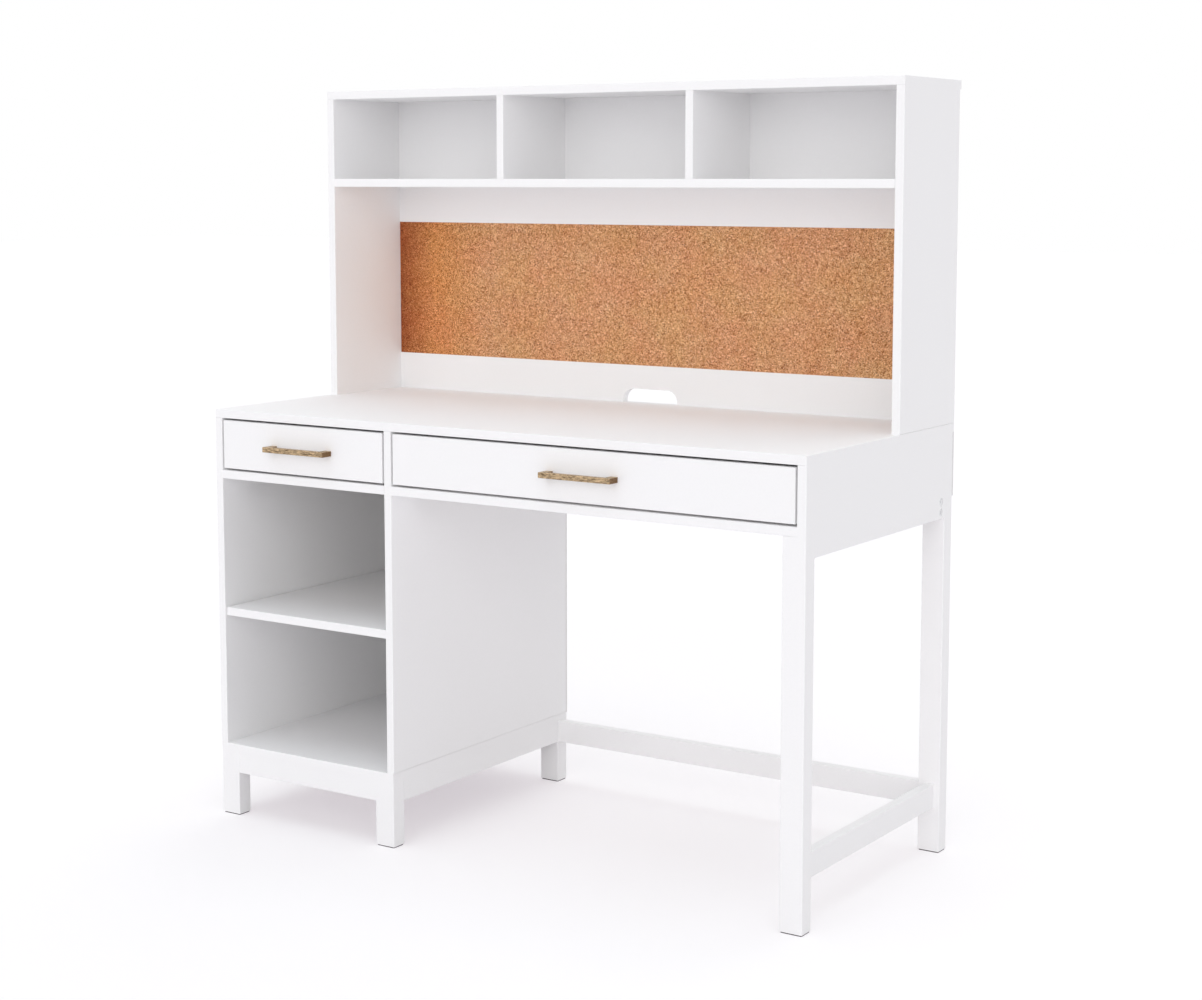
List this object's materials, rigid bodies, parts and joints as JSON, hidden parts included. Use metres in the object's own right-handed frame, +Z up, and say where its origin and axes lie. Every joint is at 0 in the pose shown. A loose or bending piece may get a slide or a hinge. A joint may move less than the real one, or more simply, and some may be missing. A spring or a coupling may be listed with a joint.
{
  "type": "student desk with hutch",
  "caption": "White student desk with inset drawers, an open shelf pedestal on one side, a leg frame on the other, and a hutch with cubbies over a cork board.",
  "frame": {"origin": "on the floor, at the centre of the overall footprint", "axes": "+X to the right end with the leg frame, +Y to the back, +Z up"},
  "size_m": [1.23, 0.573, 1.352],
  "materials": {
    "white_paint": "satin white paint on board",
    "thin_back_board": "matt white foil on hardboard",
    "drawer_box_board": "matt white foil on board",
    "cork": "bare granulated cork",
    "antique_brass": "rubbed antique brass",
    "zinc_steel": "bright zinc",
    "glide_plastic": "moulded",
    "beech_dowel": "bare beech"
  },
  "bodies": {
    "desk": {"back_leg": "white_paint", "back_panel_screws": "zinc_steel", "back_stretcher": "white_paint", "base_back_rail": "white_paint", "base_front_rail": "white_paint", "base_left_rail": "white_paint", "base_right_rail": "white_paint", "cam_bolts": "zinc_steel", "cam_locks": "zinc_steel", "cork_board": "cork", "desk_top": "white_paint", "dowels": "beech_dowel", "floor_glides": "glide_plastic", "foot_back_left": "white_paint", "foot_back_right": "white_paint", "foot_front_left": "white_paint", "foot_front_right": "white_paint", "front_leg": "white_paint", "hutch_back_panel": "white_paint", "hutch_left_panel": "white_paint", "hutch_plate_screws": "zinc_steel", "hutch_plates": "zinc_steel", "hutch_right_panel": "white_paint", "hutch_shelf": "white_paint", "hutch_top": "white_paint", "kneehole_back_apron": "white_paint", "kneehole_back_panel": "thin_back_board", "kneehole_front_rail": "white_paint", "left_cubby_divider": "white_paint", "left_side_panel": "white_paint", "leg_bolts": "zinc_steel", "leg_cam_nuts": "zinc_steel", "middle_panel": "white_paint", "pedestal_back_panel": "thin_back_board", "pedestal_floor": "white_paint", "pedestal_front_rail": "white_paint", "pedestal_shelf": "white_paint", "right_cubby_divider": "white_paint", "runner_outer_members": "zinc_steel", "shelf_pins": "zinc_steel", "side_apron": "white_paint", "side_stretcher": "white_paint"},
    "small_drawer": {"small_drawer_front": "white_paint", "small_drawer_sides": "drawer_box_board", "small_drawer_back": "drawer_box_board", "small_drawer_bottom": "drawer_box_board", "small_drawer_pull": "antique_brass", "small_drawer_pull_screws": "zinc_steel", "small_drawer_runner_inner": "zinc_steel"},
    "small_drawer_runners": {"small_drawer_runner_middle": "zinc_steel"},
    "wide_drawer": {"wide_drawer_front": "white_paint", "wide_drawer_sides": "drawer_box_board", "wide_drawer_back": "drawer_box_board", "wide_drawer_bottom": "drawer_box_board", "wide_drawer_pull": "antique_brass", "wide_drawer_pull_screws": "zinc_steel", "wide_drawer_runner_inner": "zinc_steel"},
    "wide_drawer_runners": {"wide_drawer_runner_middle": "zinc_steel"}
  },
  "joints": [
    {"name": "small_drawer_slide", "type": "slide", "parent": "desk", "child": "small_drawer", "axis": [0, -1, 0], "range_m": [0, 0.35]},
    {"name": "small_drawer_runner_slide", "type": "slide", "parent": "desk", "child": "small_drawer_runners", "axis": [0, -1, 0], "range_m": [0, 0.175]},
    {"name": "wide_drawer_slide", "type": "slide", "parent": "desk", "child": "wide_drawer", "axis": [0, -1, 0], "range_m": [0, 0.35]},
    {"name": "wide_drawer_runner_slide", "type": "slide", "parent": "desk", "child": "wide_drawer_runners", "axis": [0, -1, 0], "range_m": [0, 0.175]}
  ],
  "couplings": [
    {"joint": "small_drawer_runner_slide", "follows": "small_drawer_slide", "ratio": 0.5},
    {"joint": "wide_drawer_runner_slide", "follows": "wide_drawer_slide", "ratio": 0.5}
  ]
}
